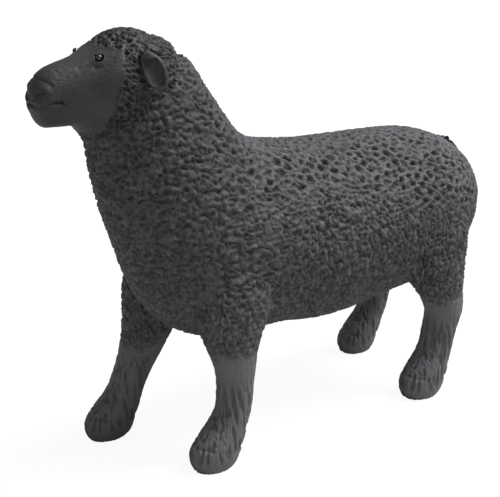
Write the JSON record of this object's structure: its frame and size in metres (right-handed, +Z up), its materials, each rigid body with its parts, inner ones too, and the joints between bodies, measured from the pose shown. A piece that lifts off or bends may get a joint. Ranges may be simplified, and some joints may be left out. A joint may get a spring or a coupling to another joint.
{
  "type": "sheep figurine",
  "caption": "Standing sheep figure in matt charcoal resin with moulded fleece, smooth face, drooping ears and striding legs, cast hollow around steel rods.",
  "frame": {"origin": "on the surface the soles stand on, under the middle of the figure's overall length and width", "axes": "+Z up, the head looks towards -Y, the animal's left side is +X"},
  "size_m": [0.1134, 0.348, 0.276],
  "materials": {
    "resin": "matt charcoal grey cast resin with a moulded fleece",
    "eye": "polished black",
    "inner_resin": "raw grey resin, as cast",
    "rod": "drawn steel rod"
  },
  "bodies": {
    "root": {"body_shell_left": "resin", "body_shell_right": "resin", "body_seam_band": "inner_resin", "head_casting": "resin", "ear_left": "resin", "ear_right": "resin", "eye_left": "eye", "eye_right": "eye", "tail": "resin", "leg_front_left": "resin", "leg_front_right": "resin", "leg_rear_left": "resin", "leg_rear_right": "resin", "leg_rod_front_left": "rod", "leg_rod_front_right": "rod", "leg_rod_rear_left": "rod", "leg_rod_rear_right": "rod", "front_leg_block": "inner_resin", "rear_leg_block": "inner_resin", "neck_rod": "rod"}
  },
  "joints": []
}
